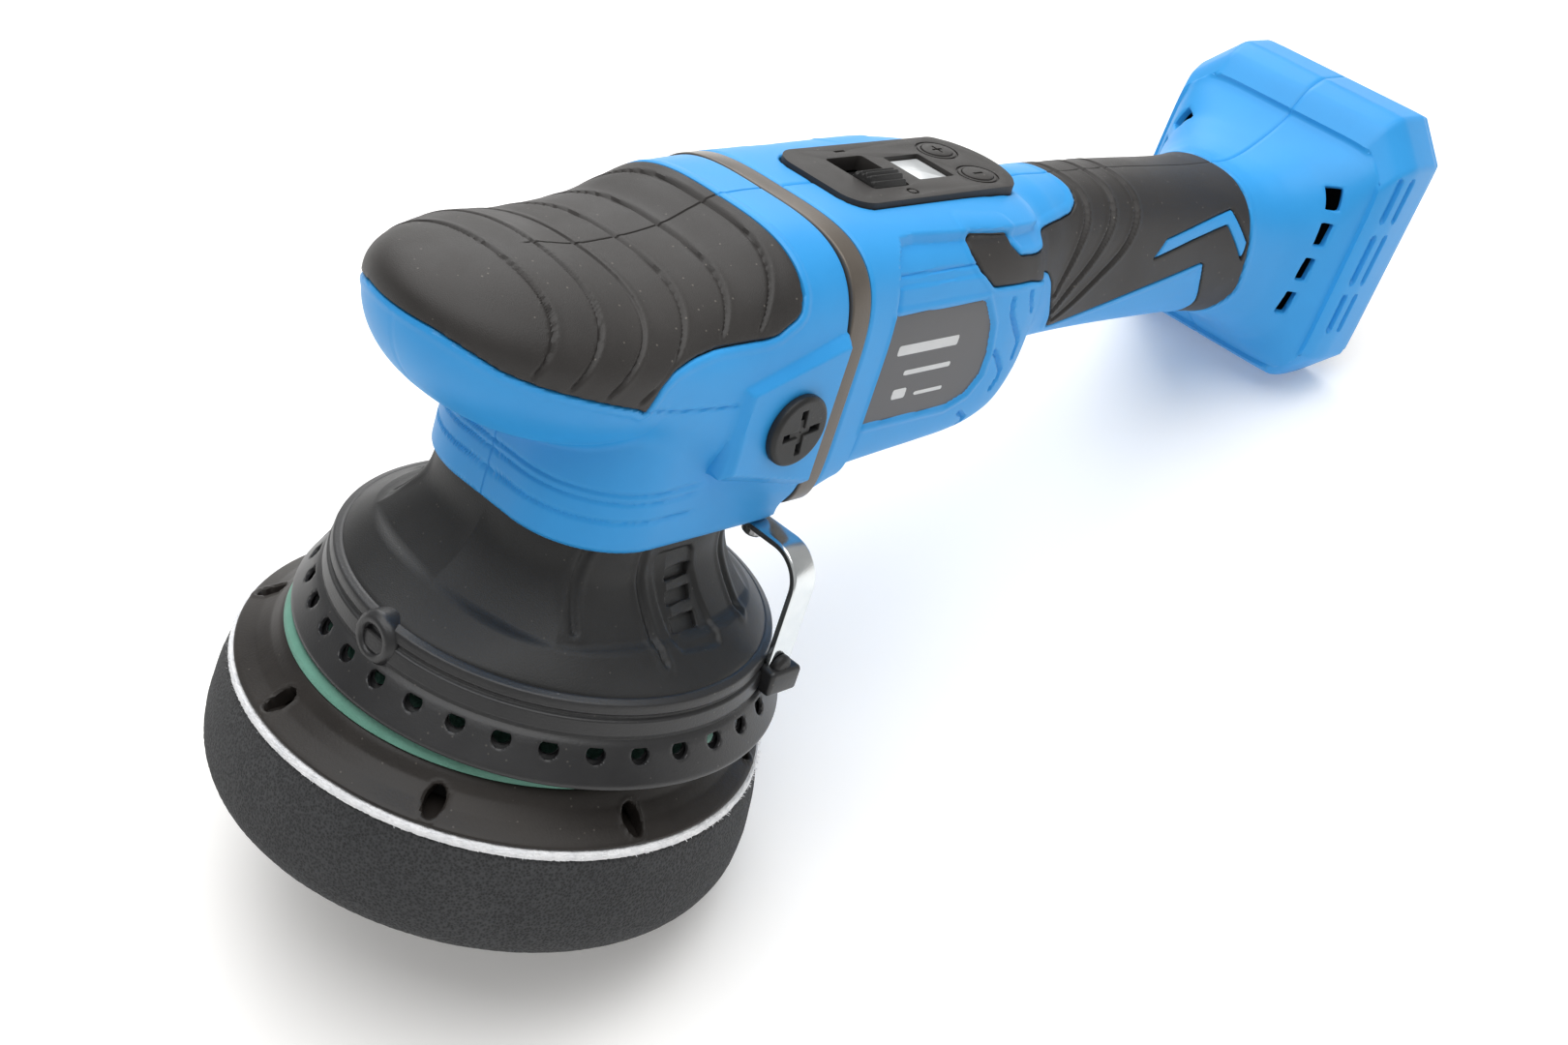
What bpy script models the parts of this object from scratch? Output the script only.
"""Cordless dual action polisher, lying tipped back on its pad and its battery base.

All sizes are in millimetres in the tool's own frame: Z is the spindle axis with the pad
below Z = 0, X runs from the head to the handle, and the casing halves meet at Y = 0.
Left is the -Y side. The tool_frame empty turns that frame into the resting pose, in metres.
"""
import math

import bmesh
import bpy
from mathutils import Vector

MM = 0.001
GAP = 0.3                    # clearance between neighbouring solids
REST_TILT = 21.21            # how far the tool leans back, degrees

# Pad and its eccentric drive
PAD_R = 75.0
ORBIT_R = 7.0
ORBIT_ANGLE = 143.0
FOAM_H = 33.0
FELT_TOP = 2.2
PLATE_TOP = 13.2
TEAL_TOP = 17.0
SPINDLE_R = 8.0

# Motor line and bevel pair; the pitch cones meet at (0, 0, MOTOR_Z)
MOTOR_Z = 112.0
GEAR_TEETH = 24
PINION_TEETH = 8
CONE_OUTER = 28.5
CONE_INNER = 19.5
SHAFT_R = 4.0

# Casing
WALL = 2.6
HEAD_WALL = 4.6
GRIP_T = 2.1
NOSE_X = -81.0
NOSE_CENTRE_X = -25.0
SPLIT_X = 41.5               # head casing meets body casing under the strap
STRAP = (37.6, 45.4)
STRAP_T = 1.7
COLLAR_LOW_Z = 72.0
COLLAR_HALF = 37.5
COLLAR_CORNER = 27.0
PLUG_X = 22.6
PLUG_Z = 106.8
BRACKET_X = (29.4, 38.2)
PANEL_X = (58.5, 137.8)
PANEL_HALF = 17.0
PANEL_BOW = 20.3
BUTTON_X = 122.0
BUTTON_Y = 8.0
BUTTON_HALF = (6.6, 5.0)
PANEL_TOP = 153.8
SLIDER_Y = -4.6
REAR_X = 342.0
REAR_LEAN = math.tan(math.radians(7.5))
VENT_LEAN = 0.18
LEAN_Z = 120.0               # height at which the leaning sections keep their place
BODY_FRONT = SPLIT_X + GAP
NECK_RING = 28
RING = 24                    # points round a casing section

COLOURS = {
    "blue_plastic": ((0.05, 0.26, 0.72), 0.42, 0.0),
    "black_rubber": ((0.045, 0.043, 0.042), 0.75, 0.0),
    "black_plastic": ((0.03, 0.03, 0.03), 0.5, 0.0),
    "strap_grey": ((0.16, 0.14, 0.12), 0.4, 0.3),
    "foam": ((0.07, 0.07, 0.075), 0.95, 0.0),
    "felt": ((0.85, 0.86, 0.86), 0.95, 0.0),
    "teal_foam": ((0.16, 0.38, 0.31), 0.8, 0.0),
    "zinc": ((0.6, 0.6, 0.62), 0.3, 1.0),
    "steel": ((0.5, 0.5, 0.52), 0.35, 1.0),
    "aluminium": ((0.66, 0.67, 0.68), 0.4, 1.0),
    "copper": ((0.62, 0.28, 0.13), 0.45, 1.0),
    "board": ((0.03, 0.16, 0.07), 0.5, 0.0),
    "lens": ((0.55, 0.58, 0.58), 0.15, 0.0),
    "label": ((0.07, 0.07, 0.075), 0.5, 0.0),
}


# ---------------------------------------------------------------- scene helpers

def clear_scene():
    for obj in list(bpy.data.objects):
        bpy.data.objects.remove(obj, do_unlink=True)


def new_collection(name):
    collection = bpy.data.collections.new(name)
    bpy.context.scene.collection.children.link(collection)
    return collection


def material(name):
    if name in bpy.data.materials:
        return bpy.data.materials[name]
    colour, roughness, metallic = COLOURS[name]
    mat = bpy.data.materials.new(name)
    mat.use_nodes = True
    shader = mat.node_tree.nodes["Principled BSDF"]
    shader.inputs["Base Color"].default_value = (*colour, 1.0)
    shader.inputs["Roughness"].default_value = roughness
    shader.inputs["Metallic"].default_value = metallic
    return mat


def empty(name, parent=None, location=(0, 0, 0), rotation=None):
    obj = bpy.data.objects.new(name, None)
    PARTS.objects.link(obj)
    obj.parent = parent
    obj.location = Vector(location) * MM
    if rotation:
        obj.rotation_euler = rotation
    return obj


def add_object(name, bm, colour, parent, location=(0, 0, 0), rotation=None):
    """Turn a bmesh in millimetres into a named part in metres."""
    bmesh.ops.recalc_face_normals(bm, faces=bm.faces)
    bmesh.ops.scale(bm, vec=(MM, MM, MM), verts=bm.verts)
    mesh = bpy.data.meshes.new(name)
    bm.to_mesh(mesh)
    bm.free()
    mesh.shade_smooth()
    mesh.set_sharp_from_angle(angle=math.radians(35))
    obj = bpy.data.objects.new(name, mesh)
    obj.parent = parent
    obj.location = Vector(location) * MM
    if rotation:
        obj.rotation_euler = rotation
    if colour:
        mesh.materials.append(material(colour))
        PARTS.objects.link(obj)
    else:
        obj.hide_render = True
        obj.display_type = "WIRE"
        CUTTERS.objects.link(obj)
    return obj


def combine(target, cutter, operation="DIFFERENCE"):
    modifier = target.modifiers.new(operation.lower(), "BOOLEAN")
    modifier.operation = operation
    modifier.object = cutter


def bevel(obj, width, segments=2):
    modifier = obj.modifiers.new("rounded_edges", "BEVEL")
    modifier.width = width * MM
    modifier.segments = segments
    modifier.limit_method = "ANGLE"


# ---------------------------------------------------------------- shape helpers

def box(name, low, high, colour, parent, rounded=0.0):
    bm = bmesh.new()
    size = [h - l for l, h in zip(low, high)]
    centre = [(l + h) / 2 for l, h in zip(low, high)]
    bmesh.ops.create_cube(bm, size=1.0)
    bmesh.ops.scale(bm, vec=size, verts=bm.verts)
    obj = add_object(name, bm, colour, parent, centre)
    if rounded:
        bevel(obj, rounded)
    return obj


def boxes(name, places, size, parent, lean=0.0):
    """One cutter of several equal boxes, each leaning in X as it rises."""
    bm = bmesh.new()
    for place in places:
        made = bmesh.ops.create_cube(bm, size=1.0)
        bmesh.ops.scale(bm, vec=size, verts=made["verts"])
        bmesh.ops.translate(bm, vec=place, verts=made["verts"])
        for vert in made["verts"]:
            vert.co.x += (vert.co.z - place[2]) * lean
    return add_object(name, bm, None, parent)


def turned(name, profile, colour, parent, location=(0, 0, 0), rotation=None, steps=32, closed=True):
    """Turn (radius, z) points about Z. A closed profile makes a ring, an open one a solid."""
    area = 0.0
    for (r0, z0), (r1, z1) in zip(profile, profile[1:] + profile[:1]):
        area += r0 * z1 - r1 * z0
    if area > 0:
        profile = profile[::-1]
    bm = bmesh.new()
    verts = [bm.verts.new((r, 0, z)) for r, z in profile]
    for a, b in zip(verts, verts[1:]):
        bm.edges.new((a, b))
    if closed:
        bm.edges.new((verts[-1], verts[0]))
    obj = add_object(name, bm, colour, parent, location, rotation)
    screw = obj.modifiers.new("turn", "SCREW")
    screw.steps = steps
    screw.render_steps = steps
    screw.use_merge_vertices = True
    screw.merge_threshold = 0.00001
    return obj


def loft_mesh(rings, fan=False):
    """Skin rings of equal point count, and close both ends, flat or as a fan."""
    bm = bmesh.new()
    rows = [[bm.verts.new(point) for point in ring] for ring in rings]
    count = len(rings[0])
    for row, following in zip(rows, rows[1:]):
        for i in range(count):
            j = (i + 1) % count
            bm.faces.new((row[i], row[j], following[j], following[i]))
    for row in (rows[0], rows[-1]):
        if fan:
            centre = sum((vert.co for vert in row), Vector()) / count
            tip = bm.verts.new(centre)
            for i in range(count):
                bm.faces.new((row[i], row[(i + 1) % count], tip))
        else:
            bm.faces.new(row)
    return bm


def tube_mesh(rings):
    """Skin rings and join the last to the first: a closed band with a hole through it."""
    bm = bmesh.new()
    rows = [[bm.verts.new(point) for point in ring] for ring in rings]
    count = len(rings[0])
    for row, following in zip(rows, rows[1:] + rows[:1]):
        for i in range(count):
            j = (i + 1) % count
            bm.faces.new((row[i], row[j], following[j], following[i]))
    return bm


def prism(name, outline, axis, low, high, colour, parent, location=(0, 0, 0)):
    """Extrude an outline in the plane across `axis` (0 = X, 1 = Y, 2 = Z)."""
    rings = []
    for level in (low, high):
        ring = []
        for u, v in outline:
            point = [u, v]
            point.insert(axis, level)
            ring.append(point)
        rings.append(ring)
    return add_object(name, loft_mesh(rings), colour, parent, location)


def arc(centre, radius, start, end, steps):
    """Points on an arc, angles in degrees."""
    points = []
    for i in range(steps + 1):
        angle = math.radians(start + (end - start) * i / steps)
        points.append((centre[0] + radius * math.cos(angle), centre[1] + radius * math.sin(angle)))
    return points


def smooth(t):
    t = min(max(t, 0.0), 1.0)
    return t * t * (3 - 2 * t)


def along(x, points):
    """A smooth curve through (x, value) points that never overshoots them."""
    if x <= points[0][0]:
        return points[0][1]
    if x >= points[-1][0]:
        return points[-1][1]
    slopes = [(b[1] - a[1]) / (b[0] - a[0]) for a, b in zip(points, points[1:])]
    tangents = [slopes[0]]
    for before, after in zip(slopes, slopes[1:]):
        same_way = before * after > 0
        tangents.append(2 * before * after / (before + after) if same_way else 0.0)
    tangents.append(slopes[-1])
    i = next(k for k in range(len(slopes)) if x <= points[k + 1][0])
    (x0, y0), (x1, y1) = points[i], points[i + 1]
    t = (x - x0) / (x1 - x0)
    step = x1 - x0
    return (y0 * (1 + 2 * t) * (1 - t) ** 2 + y1 * t * t * (3 - 2 * t)
            + tangents[i] * step * t * (1 - t) ** 2 - tangents[i + 1] * step * t * t * (1 - t))


# ---------------------------------------------------------------- casing sections

# From the nose's centre back to the strap: (x, value)
HEAD_TOP = [(-25, 142.6), (-13, 143.2), (1.5, 145.2), (12, 149), (22, 152.2), (32, 152.6), (46, 152.6)]
HEAD_LOW = [(-25, 96), (-8, 91), (8, 83), (20, 76), (30, 73), (46, 73)]
HEAD_WIDE = [(-25, 125), (10, 115), (46, 107)]
HEAD_HALF = [(-25, 41.5), (46, 42)]
HEAD_N_TOP = [(-25, 2.1), (10, 3), (46, 3.6)]
HEAD_N_LOW = [(-25, 2.2), (15, 4), (46, 6)]

# From the strap to the battery base
BODY_TOP = [(40, 152.6), (62, 152.6), (105, 152.4), (128, 151.8), (138, 150.4), (147, 148.4), (160, 147.2),
            (209, 145.7), (268, 143), (279, 143.1), (288, 144.8), (298, 149.4), (308, 156.5), (316, 167),
            (323, 170), (345, 170)]
BODY_LOW = [(40, 73), (46, 75.2), (60, 78.4), (95, 80.2), (112, 80.8), (122, 82), (132, 85.4), (141, 90.6),
            (150, 93.4), (178, 94), (248, 92.5), (268, 91.5), (284, 88), (298, 82.5), (309, 76.5), (318, 73),
            (345, 72)]
BODY_HALF = [(40, 42), (60, 41), (98, 41), (114, 41), (124, 40.4), (132, 38.2), (140, 32.8), (150, 26.2),
             (165, 22.6), (190, 22), (248, 23), (268, 25), (286, 29.5), (298, 34.8), (308, 40.5), (316, 44),
             (324, 45.2), (345, 44.5)]
BODY_N = [(40, 3.6), (105, 3.8), (125, 3.4), (150, 2.4), (265, 2.4), (298, 3.5), (322, 6.0), (345, 6.5)]
BODY_N_LOW = [(40, 7), (100, 6), (122, 4.6), (138, 3.2), (152, 2.5), (265, 2.5), (294, 3.6), (322, 6.0),
              (345, 6.5)]
NOSE_TIP_Z = 133.0


def oval(x, half, low, wide, top, n_low, n_top, count=RING):
    """A squarish oval across the tool: widest at z = wide, squarer with a higher n."""
    points = []
    for i in range(count):
        angle = 2 * math.pi * i / count
        c = math.cos(angle)
        s = math.sin(angle)
        n = n_top if s > 0 else n_low
        height = top - wide if s > 0 else wide - low
        y = half * math.copysign(abs(c) ** (2 / n), c)
        z = wide + height * math.copysign(abs(s) ** (2 / n), s)
        points.append((x, y, z))
    return points


def head_section(x, inset=0.0):
    """Casing section of the head at x; inset moves the surface inwards."""
    nose = NOSE_X + inset
    if x < NOSE_CENTRE_X:
        t = (NOSE_CENTRE_X - x) / (NOSE_CENTRE_X - nose)
        s = math.sqrt(max(1 - t * t, 0.0))
        half = (41.5 - inset) * s
        low = NOSE_TIP_Z - (37 - inset) * s
        wide = NOSE_TIP_Z - 8 * s * s
        top = NOSE_TIP_Z + (12 - inset) * math.sqrt(s) - 2.4 * smooth((x + 45) / 20)
        return oval(x, half, low, wide, top, 2.2, 2.1)
    half = along(x, HEAD_HALF) - inset
    low = along(x, HEAD_LOW) + inset
    top = along(x, HEAD_TOP) - inset
    return oval(x, half, low, along(x, HEAD_WIDE), top, along(x, HEAD_N_LOW), along(x, HEAD_N_TOP))


def body_section(x, inset=0.0):
    """Casing section of the body, handle and base at x; the rear leans with its rim."""
    low = along(x, BODY_LOW) + inset
    top = along(x, BODY_TOP) - inset
    middle = (low + top) / 2
    points = oval(x, along(x, BODY_HALF) - inset, low, middle, top, along(x, BODY_N_LOW), along(x, BODY_N))
    lean = rear_lean(x)
    return [(px + (pz - LEAN_Z) * lean, py, pz) for px, py, pz in points]


def rear_lean(x):
    """How far a section leans back for each unit of height, full at the battery rim."""
    return REAR_LEAN * smooth((x - 285) / 45)


def head_loft(name, inset, rear, colour=None):
    nose = NOSE_X + inset
    reach = NOSE_CENTRE_X - nose
    stations = [NOSE_CENTRE_X - reach * math.sin(math.radians(a)) for a in (84, 74, 62, 49, 34, 18, 0)]
    stations += [-14, -2, 8, 16, 24, 33, rear]
    rings = [head_section(x, inset) for x in stations]
    return add_object(name, loft_mesh(rings), colour, TOOL)


def body_loft(name, inset, front, rear, colour=None, stations=()):
    inner = [x for x in stations if front < x < rear]
    rings = [body_section(x, inset) for x in [front, *inner, rear]]
    return add_object(name, loft_mesh(rings), colour, TOOL)


def collar_outline(inset, rear):
    """Plan of the collar round the neck: rounded in front, straight back to the strap."""
    corner = COLLAR_HALF - COLLAR_CORNER
    half = COLLAR_HALF - inset
    radius = COLLAR_CORNER - inset
    return (arc((-corner, corner), radius, 180, 90, 5) + [(rear, half), (rear, -half)]
            + arc((-corner, -corner), radius, 270, 180, 5))


# ---------------------------------------------------------------- casing parts

def head_region(name, grow):
    """Side outline of the head's rubber grip, through the whole width."""
    outline = [(-95, 133 - grow), (-80, 133 - grow), (-68, 127.5 - grow), (-52, 123.5 - grow),
               (-36 + grow, 120 - grow), (-30 + grow, 126 - grow), (-16, 130.5 - grow),
               (8 + grow, 133 - grow), (17 + grow, 141), (21 + grow, 165), (-95, 165)]
    return prism(name, outline, 1, -60, 60, None, TOOL)


def half_cutter(name, side):
    """Removes the side given by sign, leaving a gap at the middle plane."""
    near = -GAP / 2 * side
    far = 80 * side
    return box(name, (-120, min(near, far), -40), (380, max(near, far), 240), None, TOOL)


def head_casing():
    outer_grip = head_region("cut_grip_outline", 0)
    pocket = head_region("cut_grip_pocket", GAP)
    grip = head_loft("head_grip", 0.0, 40, "black_rubber")
    combine(grip, outer_grip, "INTERSECT")
    combine(grip, head_loft("cut_grip_inside", GRIP_T, 60))
    core = head_loft("cut_head_core", GRIP_T + GAP, SPLIT_X)
    inside = head_loft("cut_head_inside", HEAD_WALL, 60)
    collar = prism("cut_collar", collar_outline(0, 36.4), 2, COLLAR_LOW_Z, 111, None, TOOL)
    collar_inside = prism("cut_collar_inside", collar_outline(3, 33.7), 2, 50, 110, None, TOOL)
    groove = strap_groove("cut_head_groove", STRAP[0] - GAP, 60)
    plug_bore = turned("cut_plug_bore", [(0, -60), (8.6, -60), (8.6, 60), (0, 60)], None, TOOL,
                       (PLUG_X, 0, PLUG_Z), (math.pi / 2, 0, 0), closed=False, steps=20)
    for name, side in (("head_shell_left", 1), ("head_shell_right", -1)):
        shell = head_loft(name, 0.0, SPLIT_X, "blue_plastic")
        combine(shell, pocket)
        combine(shell, core, "UNION")
        combine(shell, collar, "UNION")
        combine(shell, inside)
        combine(shell, collar_inside)
        combine(shell, groove)
        combine(shell, plug_bore)
        combine(shell, HALF_CUTTERS[side])


def strap_groove(name, x0, x1):
    """A ring that takes the strap's depth off the casing between x0 and x1."""
    rings = [body_section(x0, -6), body_section(x1, -6), body_section(x1, STRAP_T + GAP),
             body_section(x0, STRAP_T + GAP)]
    rings = [[(x, y, z) for (_, y, z) in ring] for x, ring in zip((x0, x1, x1, x0), rings)]
    return add_object(name, tube_mesh(rings), None, TOOL)


def strap_band():
    rings = []
    for x, inset in ((STRAP[0], 0.0), (STRAP[1], 0.0), (STRAP[1], STRAP_T), (STRAP[0], STRAP_T)):
        rings.append([(x, y, z) for (_, y, z) in body_section(x, inset)])
    add_object("strap_band", tube_mesh(rings), "strap_grey", TOOL)


BODY_STATIONS = (60, 96, 114, 123, 131, 140.5, 149, 158, 200, 250, 268, 279, 289, 298, 306, 313, 319, 326)


def body_casing():
    inside = body_loft("cut_body_inside", WALL, 20, 365, stations=BODY_STATIONS)
    groove = strap_groove("cut_body_groove", 20, STRAP[1] + GAP)
    sleeve_cut = sleeve("cut_grip_sleeve", 142 - GAP, 266 + GAP, -4, GRIP_T + GAP, None)
    opening = prism("cut_panel", panel_outline(GAP), 2, 146, 165, None, TOOL)
    vents = []
    for side in (-1, 1):
        vents += [(294 + VENT_LEAN * 13 * k, side * 40, 105 + 13 * k) for k in range(4)]
    vent_cutter = boxes("cut_base_vents", vents, (3.4, 30, 8.5), TOOL, VENT_LEAN)
    for name, side in (("body_shell_left", 1), ("body_shell_right", -1)):
        shell = body_loft(name, 0.0, BODY_FRONT, REAR_X, "blue_plastic", BODY_STATIONS)
        combine(shell, sleeve_cut)
        combine(shell, inside)
        combine(shell, groove)
        combine(shell, opening)
        combine(shell, vent_cutter)
        combine(shell, HALF_CUTTERS[side])
    sleeve("handle_grip", 142, 266, 0.0, GRIP_T, "black_rubber")


def sleeve(name, x0, x1, outside, inside, colour):
    """A tube that follows the casing between two insets."""
    stations = [x0, 149, 158, 200, 250, x1]
    rings = [body_section(x, outside) for x in stations]
    rings += [body_section(x, inside) for x in reversed(stations)]
    return add_object(name, tube_mesh(rings), colour, TOOL)


def side_plugs():
    """Round brush caps with a cross slot, one on each side of the head."""
    profile = [(0, 36.4), (8.2, 36.4), (8.2, 44.0), (10.2, 44.3), (10.2, 46.0), (9.4, 47.0), (0, 47.0)]
    for name, side in (("side_plug_left", 1), ("side_plug_right", -1)):
        plug = turned(name, profile, "black_plastic", TOOL, (PLUG_X, 0, PLUG_Z),
                      (math.pi / 2 * side, 0, 0), closed=False, steps=24)
        slot = cross_cutter("cut_cross_" + name, 5.4, 1.5)
        slot.location = Vector((PLUG_X, -47 * side, PLUG_Z)) * MM
        combine(plug, slot)


def cross_cutter(name, reach, width):
    half = width / 2
    quarter = [(reach, -half), (reach, half), (half, half)]
    outline = []
    for turn in range(4):
        angle = turn * math.pi / 2
        for u, v in quarter:
            outline.append((u * math.cos(angle) - v * math.sin(angle),
                            u * math.sin(angle) + v * math.cos(angle)))
    return prism(name, outline, 1, -2.2, 2.2, None, TOOL)


def nameplates():
    outline = [(58.5, 97.8), (58.5, 131.8), (100, 131.8), (107, 122.8), (110, 112), (107.6, 102.5),
               (97.6, 97.8)]
    for name, side in (("nameplate_left", -1), ("nameplate_right", 1)):
        levels = sorted((side * 41.35, side * 42.0))
        prism(name, outline, 1, levels[0], levels[1], "label", TOOL)


# ---------------------------------------------------------------- neck, shroud, bracket

def neck_ring(z, inset):
    """Blend from a circle at the shroud to the collar's rounded outline at the top."""
    t = (z - 41) / (71.5 - 41)
    lean_in = 1 - (1 - min(max(t, 0), 1)) ** 2.2
    points = []
    for i in range(NECK_RING):
        angle = 2 * math.pi * i / NECK_RING
        c = math.cos(angle)
        s = math.sin(angle)
        n = 2 + 1.4 * lean_in
        squircle = (abs(c) ** n + abs(s) ** n) ** (-1 / n)
        radius = (58.8 + (34.8 - 58.8) * lean_in) * squircle - inset
        points.append((radius * c, radius * s, z))
    return points


def gear_housing():
    levels = (41, 44, 48, 53, 59, 66, 71.5)
    rings = [neck_ring(z, 0) for z in levels]
    rings += [neck_ring(z, 3) for z in reversed(levels)]
    housing = add_object("gear_housing", tube_mesh(rings), "black_plastic", TOOL)
    slots = []
    for side in (-1, 1):
        slots += [(5 - 0.6 * k, side * 50, 61.4 - 5.2 * k) for k in range(3)]
    combine(housing, boxes("cut_neck_vents", slots, (11, 26, 2.4), TOOL))


def shroud():
    profile = [(58.9, 40.6), (61.0, 39.4), (61.0, 31.5), (63.0, 28.6), (68.5, 19.4), (68.3, 18.6),
               (66.6, 18.6), (60.9, 27.8), (58.6, 30.8), (58.6, 37.5), (56.4, 38.6), (56.4, 40.6)]
    turned("shroud", profile, "black_rubber", TOOL, steps=36)


def bar_rings(path, thickness, x0, x1):
    """Sections of a flat bar bent in the Y-Z plane, square to its path."""
    rings = []
    for i, (y, z) in enumerate(path):
        before = Vector(path[max(i - 1, 0)])
        after = Vector(path[min(i + 1, len(path) - 1)])
        ahead = (after - before).normalized() * thickness / 2
        out_y, out_z = ahead.y, -ahead.x
        rings.append([(x0, y + out_y, z + out_z), (x1, y + out_y, z + out_z),
                      (x1, y - out_y, z - out_z), (x0, y - out_y, z - out_z)])
    return rings


def bracket():
    """Zinc-plated flat bar from under the collar out and down to the shroud."""
    path = [(-29.5, 70.3), (-47, 70.3)] + arc((-47, 62.3), 8, 90, 180, 5)[1:] + [(-55, 34)]
    add_object("bracket", loft_mesh(bar_rings(path, 2.4, *BRACKET_X)), "zinc", TOOL)
    foot = [(0, 0), (3.4, 0), (3.4, 1.6), (2.6, 2.4), (0, 2.4)]
    middle = sum(BRACKET_X) / 2
    turned("bracket_foot_screw", foot, "black_plastic", TOOL, (middle, -55 - 1.2 - GAP, 37.5),
           (math.pi / 2, 0, 0), steps=16, closed=False)
    turned("bracket_top_screw", foot, "steel", TOOL, (middle, -34, 70.3 - 1.2 - GAP),
           (math.pi, 0, 0), steps=16, closed=False)


# ---------------------------------------------------------------- pad

def pad():
    foam = [(10, -FOAM_H), (70.5, -FOAM_H), (75.3, -31), (77.6, -26), (78, -19), (77, -9), (75.2, -1.5),
            (74.6, -GAP), (10, -GAP)]
    turned("foam_pad", foam, "foam", PAD_AXIS, steps=36)
    turned("loop_felt", [(10, 0), (PAD_R, 0), (PAD_R, FELT_TOP), (10, FELT_TOP)], "felt", PAD_AXIS, steps=36)
    plate = [(13.4, FELT_TOP + GAP), (73.6, FELT_TOP + GAP), (73.6, 3.6), (68.5, 6.2), (64.5, 9.6),
             (62.6, PLATE_TOP), (13.4, PLATE_TOP)]
    turned("backing_plate", plate, "black_rubber", PAD_AXIS, steps=36)
    turned("cushion_layer", [(13.4, PLATE_TOP + GAP), (62.4, PLATE_TOP + GAP), (61, TEAL_TOP),
                             (13.4, TEAL_TOP)], "teal_foam", PAD_AXIS, steps=36)
    hub = [(0, 36.8), (9, 36.8), (9, 20.5), (13, 20.0), (13, 3.2), (0, 3.2)]
    turned("pad_hub", hub, "steel", PAD_AXIS, steps=24, closed=False)
    screw = [(0, 2.9), (6.5, 2.9), (6.5, 0.4), (4.5, -1.4), (0, -1.4)]
    turned("pad_screw", screw, "steel", PAD_AXIS, steps=16, closed=False)


# ---------------------------------------------------------------- spindle and gears

def bevel_gear(name, teeth, pitch_angle, facing, back, parent):
    """Straight bevel teeth about Z; every edge runs to the apex at the origin.

    facing is +1 or -1, the way the gear lies from the apex along Z. back is the (radius, z)
    of its rear face. A tooth is centred half a pitch from local +X on the facing -1 gear.
    """
    module = 2 * CONE_OUTER * math.sin(pitch_angle) / teeth / CONE_OUTER
    profile = ((-0.30, -1.1), (-0.13, 0.8), (0.13, 0.8), (0.30, -1.1))
    shift = 0.5 if facing < 0 else 0.0
    rings = [[] for _ in range(3)]
    for tooth in range(teeth):
        for part, height in profile:
            turn = 2 * math.pi * (tooth + shift + part) / teeth
            tilt = pitch_angle + height * module
            out = Vector((math.sin(tilt) * math.cos(turn), math.sin(tilt) * math.sin(turn),
                          facing * math.cos(tilt)))
            rings[0].append((back[0] * math.cos(turn), back[0] * math.sin(turn), back[1]))
            rings[1].append(out * CONE_OUTER)
            rings[2].append(out * CONE_INNER)
    add_object(name, loft_mesh(rings, fan=True), "steel", parent)


def spindle():
    pitch = math.atan(GEAR_TEETH / PINION_TEETH)
    apex = empty("gear_apex", SPINDLE_AXIS, (0, 0, MOTOR_Z))
    bevel_gear("bevel_gear", GEAR_TEETH, pitch, -1, (23, -17), apex)
    shaft = [(0, 94.6), (SPINDLE_R, 94.6), (SPINDLE_R, 57), (11, 56.5), (11, 42), (SPINDLE_R, 41.5),
             (SPINDLE_R, 40.6), (0, 40.6)]
    turned("spindle", shaft, "steel", SPINDLE_AXIS, steps=24, closed=False)
    outline = arc((0, 0), 24, ORBIT_ANGLE + 70, ORBIT_ANGLE - 70, 8)
    outline += arc((0, 0), 44, ORBIT_ANGLE - 110, ORBIT_ANGLE - 250, 12)
    weight = prism("counterweight", outline, 2, 24, 40, "steel", SPINDLE_AXIS)
    bore = turned("cut_bearing_bore", [(0, 20), (15.6, 20), (15.6, 37.4), (0, 37.4)], None, PAD_AXIS,
                  closed=False, steps=24)
    combine(weight, bore)
    turned("pad_bearing", [(9.3, 26), (15.3, 26), (15.3, 36), (9.3, 36)], "steel", PAD_AXIS_FIXED, steps=24)


def gearbox_insides():
    turned("spindle_bearing_upper", [(8.4, 78), (16, 78), (16, 88), (8.4, 88)], "steel", TOOL, steps=24)
    turned("bearing_plate_upper", [(16.3, 78), (33.2, 78), (33.2, 84), (21, 88), (16.3, 88)],
           "aluminium", TOOL, steps=28)
    turned("spindle_bearing_lower", [(11.4, 44), (19, 44), (19, 54), (11.4, 54)], "steel", TOOL, steps=24)
    turned("gearbox_base", [(19.3, 44), (45, 44), (45, 48), (25, 54), (19.3, 54)], "aluminium", TOOL,
           steps=28)


# ---------------------------------------------------------------- motor

def motor():
    shaft = [(0, 31.4), (SHAFT_R, 31.4), (SHAFT_R, 109), (0, 109)]
    turned("motor_shaft", shaft, "steel", ROTOR_AXIS, steps=20, closed=False)
    pitch = math.atan(PINION_TEETH / GEAR_TEETH)
    bevel_gear("pinion", PINION_TEETH, pitch, 1, (6.6, 31), ROTOR_AXIS)
    on_axis("rotor_core", SHAFT_R + GAP, 14.6, 58, 92, "steel", ROTOR_AXIS)
    fan()
    on_axis("front_bearing", SHAFT_R + GAP, 11, 34, 41, "steel", MOTOR_AXIS)
    on_axis("front_bearing_plate", 11.3, 31, 34, 39, "aluminium", MOTOR_AXIS)
    on_axis("stator", 15.4, 28, 59, 91, "steel", MOTOR_AXIS)
    for name, x0 in (("winding_front", 55.5), ("winding_rear", 91.3)):
        on_axis(name, 17, 25.5, x0, x0 + 3.2, "copper", MOTOR_AXIS)
    on_axis("rear_bearing", SHAFT_R + GAP, 10, 99, 105, "steel", MOTOR_AXIS)
    on_axis("rear_bearing_plate", 10.3, 23.5, 99, 103, "black_plastic", MOTOR_AXIS)


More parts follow.
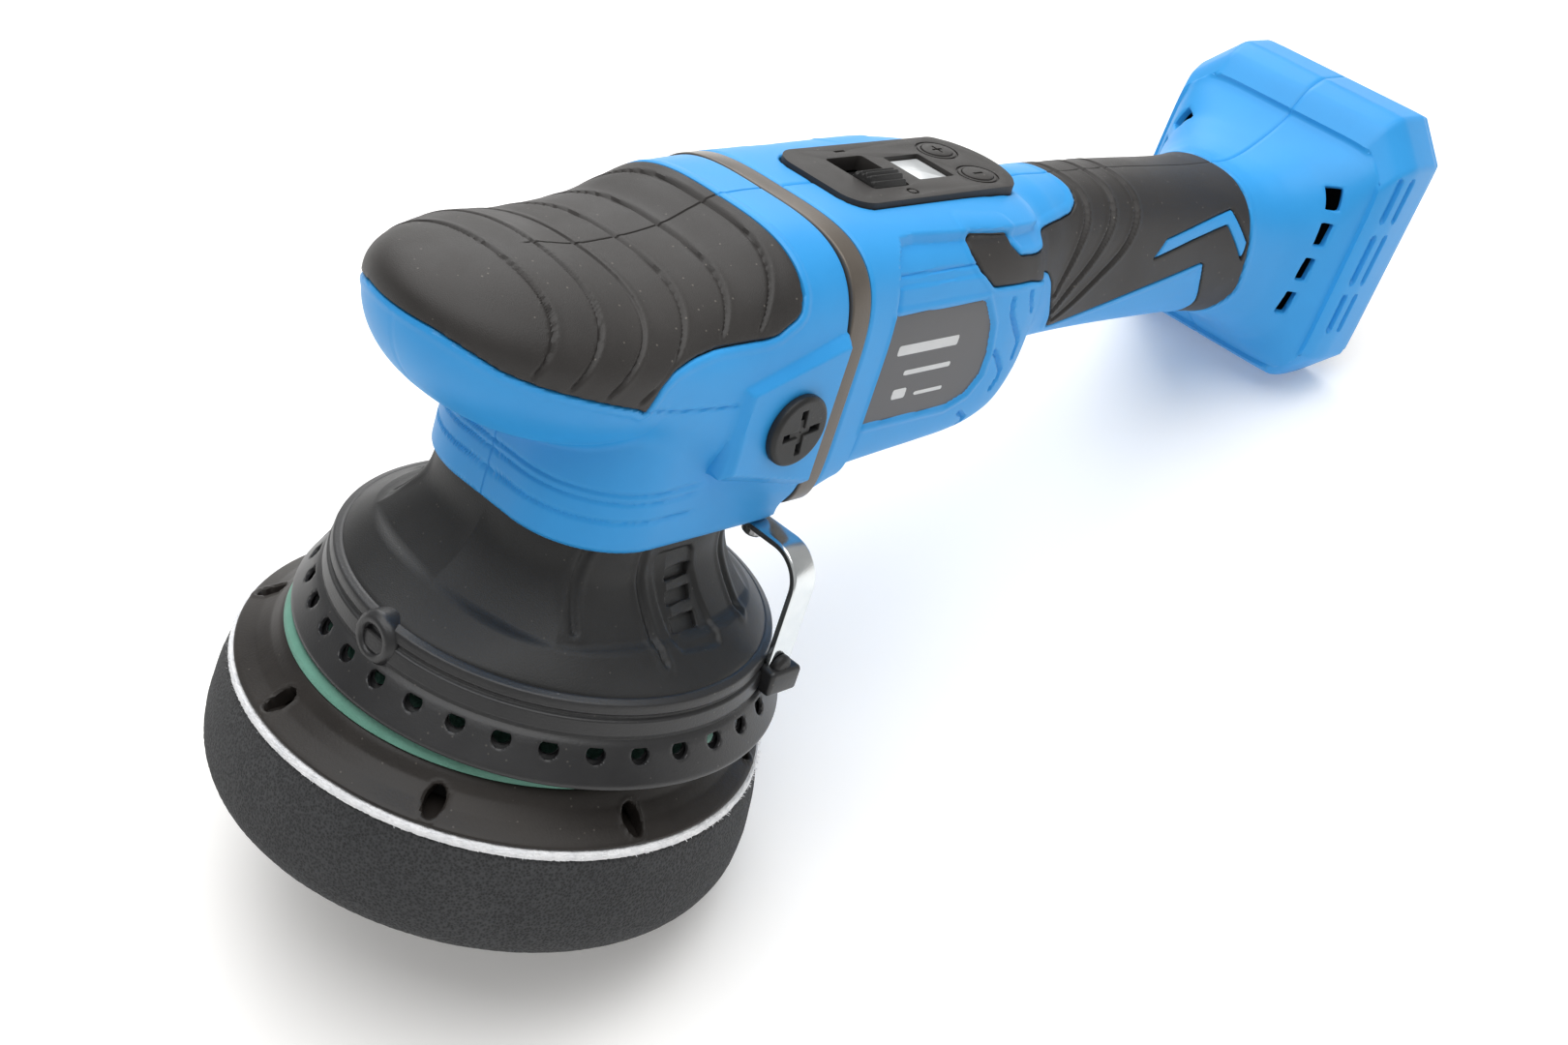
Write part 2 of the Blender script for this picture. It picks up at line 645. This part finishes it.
def on_axis(name, inner, outer, x0, x1, colour, parent):
    profile = [(inner, x0), (outer, x0), (outer, x1), (inner, x1)]
    turned(name, profile, colour, parent, steps=20)


def fan():
    """Cooling fan: a hub with straight blades, bored for the shaft."""
    blades = 9
    outline = []
    for blade in range(blades):
        base = 360.0 * blade / blades
        for radius, angle in ((11, base - 9), (27, base - 2.5), (27, base + 2.5), (11, base + 9)):
            turn = math.radians(angle)
            outline.append((radius * math.cos(turn), radius * math.sin(turn)))
    wheel = prism("fan", outline, 2, 45.5, 53.5, "black_plastic", ROTOR_AXIS)
    bore = turned("cut_fan_bore", [(0, 40), (SHAFT_R + GAP, 40), (SHAFT_R + GAP, 60), (0, 60)], None,
                  ROTOR_AXIS, closed=False, steps=20)
    combine(wheel, bore)


# ---------------------------------------------------------------- controls

def panel_outline(grow):
    """Straight in front, bowed behind."""
    front = PANEL_X[0] - grow
    half = PANEL_HALF + grow
    bow = arc((PANEL_X[1] - PANEL_BOW, 0), PANEL_BOW + grow, 57, -57, 8)
    return bow + arc((front + 8, -half + 8), 8, 270, 180, 3) + arc((front + 8, half - 8), 8, 180, 90, 3)


def controls():
    panel = prism("control_panel", panel_outline(0), 2, 149.6, PANEL_TOP, "black_rubber", TOOL)
    combine(panel, box("cut_slider_slot", (73, -9.6, 149), (89, 9.6, 158), None, TOOL))
    combine(panel, box("cut_window", (96, -7.2, 149), (112, 7.2, 158), None, TOOL))
    half_x, half_y = BUTTON_HALF
    for name, y in (("plus_button", BUTTON_Y), ("minus_button", -BUTTON_Y)):
        hole = oval_outline(half_x + GAP, half_y + GAP)
        combine(panel, prism("cut_" + name, hole, 2, 149, 158, None, TOOL, (BUTTON_X, y, 0)))
        key = oval_outline(half_x, half_y)
        prism(name, key, 2, 0, 4.1, "black_rubber", TOOL, (BUTTON_X, y, 150.4))
    box("display_lens", (96.3, -6.9, 150.2), (111.7, 6.9, 152.6), "lens", TOOL)
    slider = [(-4.5, 0), (4.5, 0), (4.5, 3), (3.4, 6.2), (-3.4, 6.2), (-4.5, 3)]
    prism("power_slider", slider, 0, -7.4, 7.4, "black_plastic", TOOL, (81, SLIDER_Y, 149.8))
    box("switch_body", (73, -10, 141), (89, 10, 148.6), "black_plastic", TOOL)
    box("display_board", (92, -14, 146.4), (126, 14, 148.0), "board", TOOL)


def oval_outline(rx, ry, steps=16):
    points = []
    for i in range(steps):
        angle = 2 * math.pi * i / steps
        points.append((rx * math.cos(angle), ry * math.sin(angle)))
    return points


# ---------------------------------------------------------------- handle and base insides

def electronics():
    box("controller_board", (150, -14, 119), (244, 14, 120.6), "board", TOOL)
    box("heat_sink", (168, -11, 121), (214, 11, 127), "aluminium", TOOL)
    can = [(0, 222), (6, 222), (6, 244), (0, 244)]
    turned("capacitor", can, "aluminium", MOTOR_AXIS, steps=20, closed=False)


def battery_mount():
    """The plate, rails and terminals that a slide-on battery meets, leaning with the rim."""
    rings = [body_section(x, WALL + 1.2) for x in (317.5, 321)]
    add_object("battery_plate", loft_mesh(rings), "black_plastic", TOOL)
    seat = empty("battery_seat", TOOL, (321 + GAP, 0, LEAN_Z), (0, math.atan(rear_lean(321)), 0))
    for name, side in (("battery_rail_left", -1), ("battery_rail_right", 1)):
        rail = [(0, 27), (4, 27), (4, 24), (9, 24), (9, 31), (0, 31)]
        outline = [(x, side * y) for x, y in rail]
        prism(name, outline, 2, -34, 36, "black_plastic", seat)
    box("terminal_block", (0, -17, -14), (5, 17, 16), "black_plastic", seat, 0.8)
    for index, y in enumerate((-11, 0, 11)):
        box("terminal_%d" % (index + 1), (5 + GAP, y - 0.6, -8), (14, y + 0.6, 10), "copper", seat)


# ---------------------------------------------------------------- assembly

def seat_on_floor():
    """Move the tool so that it stands on Z = 0 with its box centred on the origin."""
    bpy.context.view_layer.update()
    graph = bpy.context.evaluated_depsgraph_get()
    points = []
    for obj in PARTS.objects:
        if obj.type == "MESH":
            shape = obj.evaluated_get(graph)
            points += [shape.matrix_world @ vert.co for vert in shape.to_mesh().vertices]
            shape.to_mesh_clear()
    lows = [min(p[k] for p in points) for k in range(3)]
    highs = [max(p[k] for p in points) for k in range(3)]
    TOOL.location = (-(lows[0] + highs[0]) / 2, -(lows[1] + highs[1]) / 2, -lows[2])
    bpy.context.view_layer.update()


clear_scene()
PARTS = new_collection("dual_action_polisher")
CUTTERS = new_collection("cutters")

TOOL = empty("tool_frame", rotation=(0, math.radians(REST_TILT), 0))
SPINDLE_AXIS = empty("spindle_axis", TOOL)
ORBIT = (ORBIT_R * math.cos(math.radians(ORBIT_ANGLE)), ORBIT_R * math.sin(math.radians(ORBIT_ANGLE)), 0)
PAD_AXIS_FIXED = empty("eccentric_axis", SPINDLE_AXIS, ORBIT)
PAD_AXIS = empty("pad_axis", SPINDLE_AXIS, ORBIT)
MOTOR_AXIS = empty("motor_axis", TOOL, (0, 0, MOTOR_Z), (0, math.pi / 2, 0))
ROTOR_AXIS = empty("rotor_axis", TOOL, (0, 0, MOTOR_Z), (0, math.pi / 2, 0))
HALF_CUTTERS = {side: half_cutter("cut_half_%s" % word, side) for side, word in ((1, "right"), (-1, "left"))}

head_casing()
body_casing()
strap_band()
side_plugs()
nameplates()
gear_housing()
shroud()
bracket()
pad()
spindle()
gearbox_insides()
motor()
controls()
electronics()
battery_mount()
seat_on_floor()
